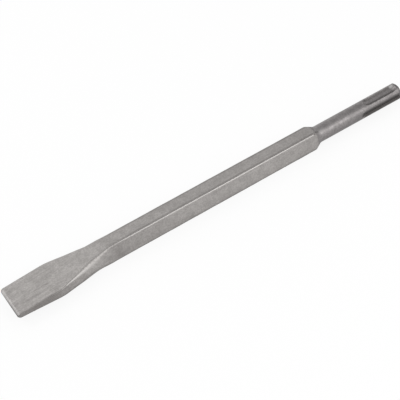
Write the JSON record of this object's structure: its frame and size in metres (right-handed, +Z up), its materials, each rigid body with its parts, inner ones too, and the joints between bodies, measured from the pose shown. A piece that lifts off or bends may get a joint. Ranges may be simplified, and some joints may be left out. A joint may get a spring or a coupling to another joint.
{
  "type": "flat chisel",
  "caption": "Flat chisel for a rotary hammer: a square steel bar forged out to a wide thin blade, with a turned round shank that is slotted for the hammer's chuck.",
  "frame": {"origin": "under the middle of the tool's box, on the surface that the bar's lower flat rests on", "axes": "+X along the tool towards the shank end, +Z up, square to the wide faces of the blade"},
  "size_m": [0.2554, 0.027, 0.0112],
  "materials": {
    "forged_steel": "shot-blasted forged steel, matt grey, with a turned shank and a ground cutting edge"
  },
  "bodies": {
    "root": {"flat_chisel": "forged_steel"}
  },
  "joints": []
}
